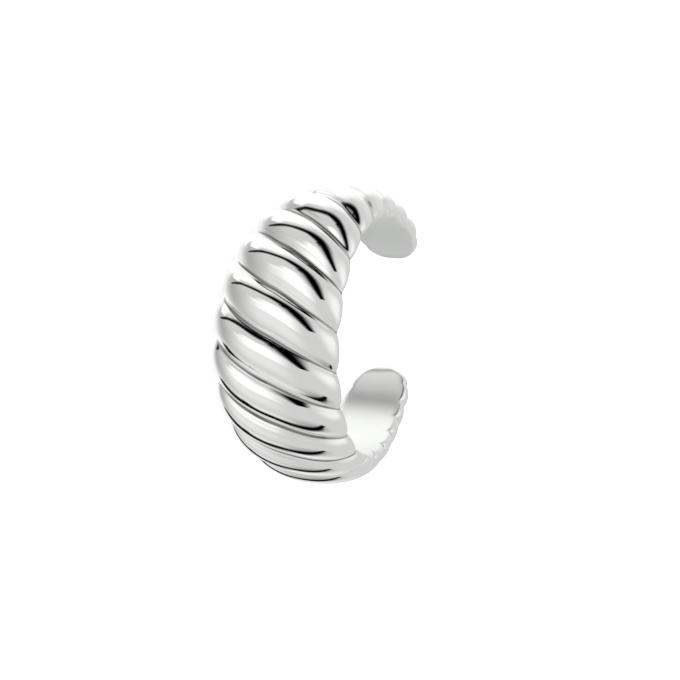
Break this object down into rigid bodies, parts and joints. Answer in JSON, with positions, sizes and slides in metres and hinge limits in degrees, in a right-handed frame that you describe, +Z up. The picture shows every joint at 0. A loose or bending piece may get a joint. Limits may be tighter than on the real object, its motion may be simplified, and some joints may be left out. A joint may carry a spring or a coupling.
{
  "type": "ear cuff",
  "caption": "Open C-shaped ear cuff of polished silver: a domed band with diagonal rounded ribs outside and a smooth flat inside.",
  "frame": {"origin": "on the floor, under the middle of the cuff's box, as the cuff rests on its side", "axes": "+Z up, away from the floor; +X towards the mouth between the two tails; +Y along the height that the worn cuff has, its longest side"},
  "size_m": [0.0116, 0.0126, 0.0058],
  "materials": {
    "silver": "polished sterling silver, plain inside and out"
  },
  "bodies": {
    "root": {"cuff_band": "silver"}
  },
  "joints": []
}
